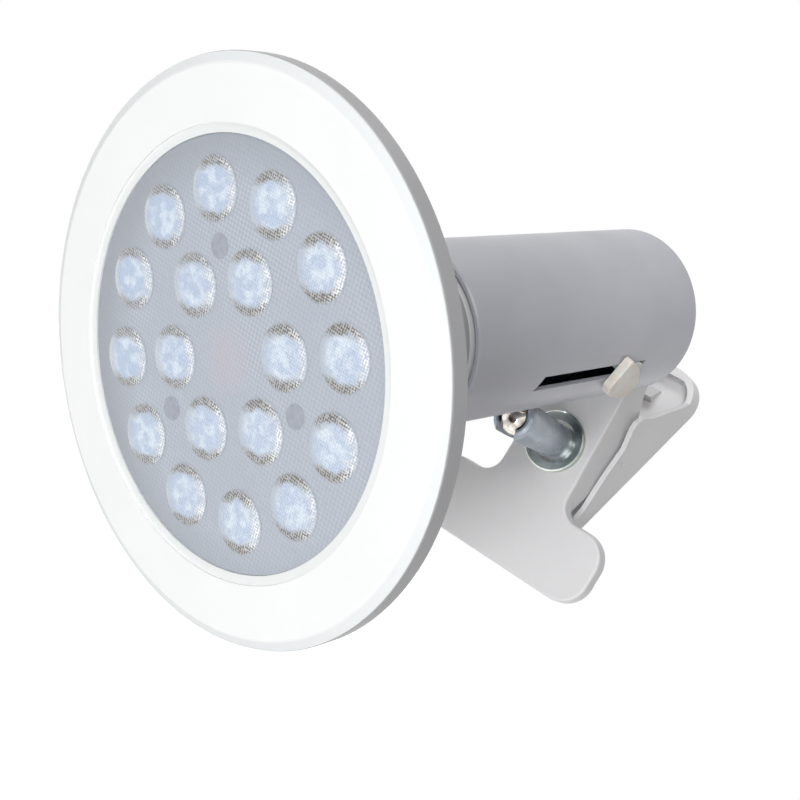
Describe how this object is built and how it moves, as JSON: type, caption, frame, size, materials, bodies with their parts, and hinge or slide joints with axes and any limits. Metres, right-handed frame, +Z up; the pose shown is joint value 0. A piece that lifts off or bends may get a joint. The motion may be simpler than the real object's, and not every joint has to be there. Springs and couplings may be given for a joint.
{
  "type": "clip-on spot lamp",
  "caption": "Clip-on reading lamp: a flat-faced LED spot bulb in a slim tubular lampholder, carried on a swivelling ball joint by a sprung plastic clip.",
  "frame": {"origin": "middle of the front jaw pad's gripping face", "axes": "+Z up the clip from the jaws to the handles, +Y from the front jaw to the rear jaw, lamp on -Y"},
  "size_m": [0.1203, 0.2252, 0.1348],
  "materials": {
    "bulb_white": "smooth white moulded plastic",
    "heat_sink": "satin powder-coated casting",
    "lens": "translucent prismatic diffuser",
    "clear_plastic": "clear moulded optics",
    "inner_plastic": "plain moulded plastic",
    "circuit_board": "white solder mask",
    "led_yellow": "phosphor",
    "steel": "plated steel",
    "capacitor_sleeve": "dark sleeve",
    "nickel": "nickel-plated shell",
    "black_insulator": "black vitreous insulator",
    "tube_metal": "satin silver-white tube",
    "holder_ceramic": "glazed lampholder",
    "brass": "bare brass",
    "cream_plastic": "cream nylon",
    "chrome": "polished plating",
    "cup_metal": "satin plated steel",
    "clip_white": "white moulded plastic",
    "pad_rubber": "soft grey rubber",
    "spring_steel": "spring wire"
  },
  "bodies": {
    "clip_front": {"front_arm": "clip_white", "front_jaw_pad": "pad_rubber", "base_washer": "chrome", "pivot_pin": "steel", "torsion_spring": "spring_steel"},
    "clip_rear": {"rear_arm": "clip_white", "rear_jaw_pad": "pad_rubber"},
    "cup": {"swivel_cup": "cup_metal", "friction_seat": "inner_plastic", "cup_screw": "steel", "lock_washer": "steel"},
    "stud": {"ball_stud": "chrome"},
    "head": {"shade_tube": "tube_metal", "rear_cap": "tube_metal", "cord_gland": "inner_plastic", "gland_nut": "inner_plastic", "lampholder_body": "holder_ceramic", "holder_shell": "brass", "holder_contact": "brass", "holder_bracket": "steel", "bracket_screws": "steel", "terminal_screws": "brass", "holder_slide_tab": "cream_plastic", "stud_collar": "chrome", "stud_nut": "steel"},
    "bulb_contact": {"centre_contact": "nickel"},
    "bulb": {"bezel_ring": "bulb_white", "diffuser_lens": "lens", "led_optics": "clear_plastic", "optic_carrier": "inner_plastic", "led_board": "circuit_board", "led_chips": "led_yellow", "board_screws": "steel", "heat_sink_cone": "heat_sink", "neck_housing": "bulb_white", "driver_board": "circuit_board", "driver_capacitor": "capacitor_sleeve", "driver_transformer": "capacitor_sleeve", "screw_cap": "nickel", "cap_insulator": "black_insulator"}
  },
  "joints": [
    {"name": "clip_open", "type": "hinge", "parent": "clip_front", "child": "clip_rear", "pos_m": [0, 0.0125, 0.034], "axis": [1, 0, 0], "range_deg": [0, 28], "stiffness_Nm_per_rad": 0.27, "springref_deg": -89.95, "deforming": ["torsion_spring"]},
    {"name": "cup_turn", "type": "hinge", "parent": "clip_front", "child": "cup", "pos_m": [0, -0.007, 0.028], "axis": [0, -1, 0], "range_deg": [-90, 90]},
    {"name": "head_tilt", "type": "hinge", "parent": "cup", "child": "stud", "pos_m": [0, -0.0372, 0.028], "axis": [1, 0, 0], "range_deg": [-5, 55]},
    {"name": "head_swing", "type": "hinge", "parent": "stud", "child": "head", "pos_m": [0, -0.0372, 0.028], "axis": [0, -0.4294, 0.9031], "range_deg": [-60, 60]},
    {"name": "bulb_slide", "type": "slide", "parent": "head", "child": "bulb_contact", "axis": [-0.1045, -0.8982, -0.4271], "range_m": [0, 0.0105]},
    {"name": "bulb_turn", "type": "hinge", "parent": "bulb_contact", "child": "bulb", "pos_m": [-0.01148, -0.14866, 0.00811], "axis": [-0.1045, -0.8982, -0.4271], "range_deg": [0, 1050]}
  ],
  "couplings": [
    {"joint": "bulb_turn", "follows": "bulb_slide", "rad_per_m": 1735.7}
  ]
}
